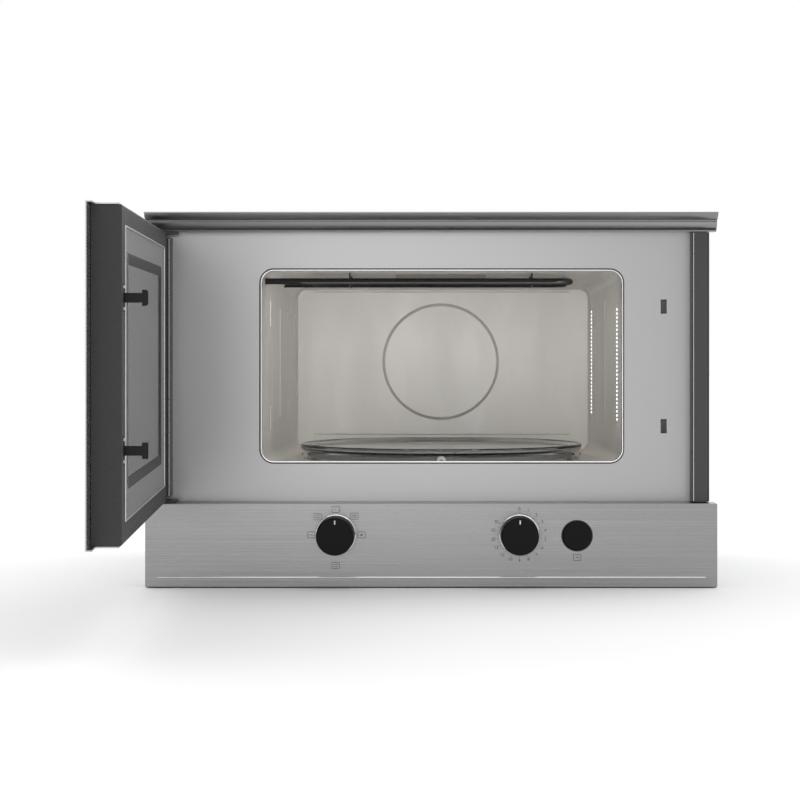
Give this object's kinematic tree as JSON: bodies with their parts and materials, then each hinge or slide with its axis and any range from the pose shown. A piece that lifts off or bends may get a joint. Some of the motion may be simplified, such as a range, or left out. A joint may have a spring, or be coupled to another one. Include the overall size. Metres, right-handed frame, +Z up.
{
  "type": "microwave oven",
  "caption": "Built-in microwave oven with a side-hung door, cavity with grill and glass turntable, two knobs and an opening button.",
  "frame": {"origin": "on the support plane under the feet, below the middle of the front plate's front face", "axes": "+X to the right seen from the front, +Y from the front to the back, +Z up"},
  "size_m": [0.6003, 0.9869, 0.3906],
  "materials": {
    "aluminium_can": "satin",
    "black_plastic": "matte",
    "brushed_door": "brushed",
    "brushed_front": "brushed",
    "cavity_steel": "satin",
    "ceramic_white": "glazed",
    "chrome_ring": "polished",
    "core_steel": "satin",
    "cornice_steel": "satin",
    "coupler_plastic": "matte",
    "dark_ring": "satin",
    "dark_trim": "satin",
    "door_black": "textured",
    "door_glass": "dark",
    "door_plate": "satin",
    "grey_plastic": "matte",
    "heater_black": "matte",
    "hook_black": "satin",
    "inner_glass": "clear",
    "knob_black": "satin",
    "lamp_glass": "clear",
    "light_guide": "frosted",
    "mica": "satin",
    "ring_plastic": "matte",
    "roller_white": "satin",
    "rubber_foot": "matte",
    "satin_front": "satin",
    "screen_black": "perforated",
    "steel_bright": "satin",
    "turntable_glass": "clear",
    "zinc_sheet": "satin"
  },
  "bodies": {
    "chassis": {"base_pan": "zinc_sheet", "button_bezel": "dark_ring", "capacitor": "aluminium_can", "casing_screws": "steel_bright", "cavity_lamp": "lamp_glass", "cavity_shell": "cavity_steel", "column_left": "dark_trim", "column_right": "dark_trim", "control_panel": "brushed_front", "cornice_trim": "cornice_steel", "face_plate": "satin_front", "fan_motor": "core_steel", "fan_shroud": "black_plastic", "feet": "rubber_foot", "grill_clips": "heater_black", "grill_element": "heater_black", "hinge_brackets": "dark_trim", "hinge_pins": "steel_bright", "interlock_switches": "black_plastic", "lamp_holder": "ceramic_white", "latch_bracket": "black_plastic", "light_guide": "light_guide", "magnetron": "zinc_sheet", "mains_gland": "black_plastic", "outer_casing": "zinc_sheet", "panel_carrier": "black_plastic", "rear_panel": "zinc_sheet", "selector_bezel": "chrome_ring", "selector_switch": "black_plastic", "timer_bezel": "chrome_ring", "timer_body": "black_plastic", "transformer": "core_steel", "turntable_motor": "zinc_sheet", "waveguide": "zinc_sheet", "waveguide_cover": "mica"},
    "door": {"door_skin": "brushed_door", "door_window": "door_glass", "door_box": "door_black", "door_inner_plate": "door_plate", "door_screen": "screen_black", "door_inner_glass": "inner_glass", "hinge_leaves": "dark_trim"},
    "door_latch": {"door_hooks": "hook_black", "hook_spring": "steel_bright"},
    "selector": {"selector_knob": "knob_black", "selector_shaft": "steel_bright"},
    "timer": {"timer_knob": "knob_black", "timer_shaft": "steel_bright"},
    "button": {"open_button": "knob_black", "button_spring": "steel_bright"},
    "lever": {"release_lever": "grey_plastic"},
    "lifter": {"latch_lifter": "grey_plastic"},
    "turntable_drive": {"drive_coupler": "coupler_plastic"},
    "turntable": {"turntable_plate": "turntable_glass"},
    "rollers": {"roller_ring": "ring_plastic"},
    "roller_a": {"roller_1": "roller_white"},
    "roller_b": {"roller_2": "roller_white"},
    "roller_c": {"roller_3": "roller_white"},
    "roller_d": {"roller_4": "roller_white"},
    "fan": {"fan_blade": "black_plastic"}
  },
  "joints": [
    {"name": "door_swing", "type": "hinge", "parent": "chassis", "child": "door", "pos_m": [-0.2873, -0.016, 0.23], "axis": [0, 0, 1], "range_deg": [0, 87.35]},
    {"name": "latch_slide", "type": "slide", "parent": "door", "child": "door_latch", "axis": [0, 0, 1], "range_m": [0, 0.003], "stiffness_N_per_m": 400, "springref_m": -0.005, "deforming": ["hook_spring"]},
    {"name": "selector_turn", "type": "hinge", "parent": "chassis", "child": "selector", "pos_m": [-0.0993, -0.04, 0.0554], "axis": [0, 1, 0], "continuous": true},
    {"name": "timer_turn", "type": "hinge", "parent": "chassis", "child": "timer", "pos_m": [0.0916, -0.04, 0.0554], "axis": [0, 1, 0], "range_deg": [0, 300]},
    {"name": "button_press", "type": "slide", "parent": "chassis", "child": "button", "axis": [0, 1, 0], "range_m": [0, 0.004], "stiffness_N_per_m": 600, "springref_m": -0.004},
    {"name": "lever_rock", "type": "hinge", "parent": "chassis", "child": "lever", "pos_m": [0.2, 0.04, 0.095], "axis": [1, 0, 0], "range_deg": [0, 5.8]},
    {"name": "lifter_slide", "type": "slide", "parent": "chassis", "child": "lifter", "axis": [0, 0, 1], "range_m": [0, 0.003]},
    {"name": "turntable_turn", "type": "hinge", "parent": "chassis", "child": "turntable_drive", "pos_m": [0.0105, 0.17, 0.13], "axis": [0, 0, 1], "continuous": true},
    {"name": "plate_lift", "type": "slide", "parent": "turntable_drive", "child": "turntable", "axis": [0, 0, 1], "range_m": [0, 0.03]},
    {"name": "roller_ring_turn", "type": "hinge", "parent": "chassis", "child": "rollers", "pos_m": [0.0105, 0.17, 0.13], "axis": [0, 0, 1], "continuous": true},
    {"name": "roller_1_spin", "type": "hinge", "parent": "rollers", "child": "roller_a", "pos_m": [0.1625, 0.17, 0.1298], "axis": [1, 0, 0], "continuous": true},
    {"name": "roller_2_spin", "type": "hinge", "parent": "rollers", "child": "roller_b", "pos_m": [0.0105, 0.322, 0.1298], "axis": [0, 1, 0], "continuous": true},
    {"name": "roller_3_spin", "type": "hinge", "parent": "rollers", "child": "roller_c", "pos_m": [-0.1415, 0.17, 0.1298], "axis": [-1, 0, 0], "continuous": true},
    {"name": "roller_4_spin", "type": "hinge", "parent": "rollers", "child": "roller_d", "pos_m": [0.0105, 0.018, 0.1298], "axis": [0, -1, 0], "continuous": true},
    {"name": "fan_spin", "type": "hinge", "parent": "chassis", "child": "fan", "pos_m": [0.205, 0.36, 0.067], "axis": [0, 1, 0], "continuous": true}
  ],
  "couplings": [
    {"joint": "lever_rock", "follows": "button_press", "rad_per_m": 24.69},
    {"joint": "lifter_slide", "follows": "button_press", "ratio": 0.7407},
    {"joint": "roller_ring_turn", "follows": "turntable_turn", "ratio": 0.5},
    {"joint": "roller_1_spin", "follows": "turntable_turn", "ratio": -15.2},
    {"joint": "roller_2_spin", "follows": "turntable_turn", "ratio": -15.2},
    {"joint": "roller_3_spin", "follows": "turntable_turn", "ratio": -15.2},
    {"joint": "roller_4_spin", "follows": "turntable_turn", "ratio": -15.2}
  ]
}
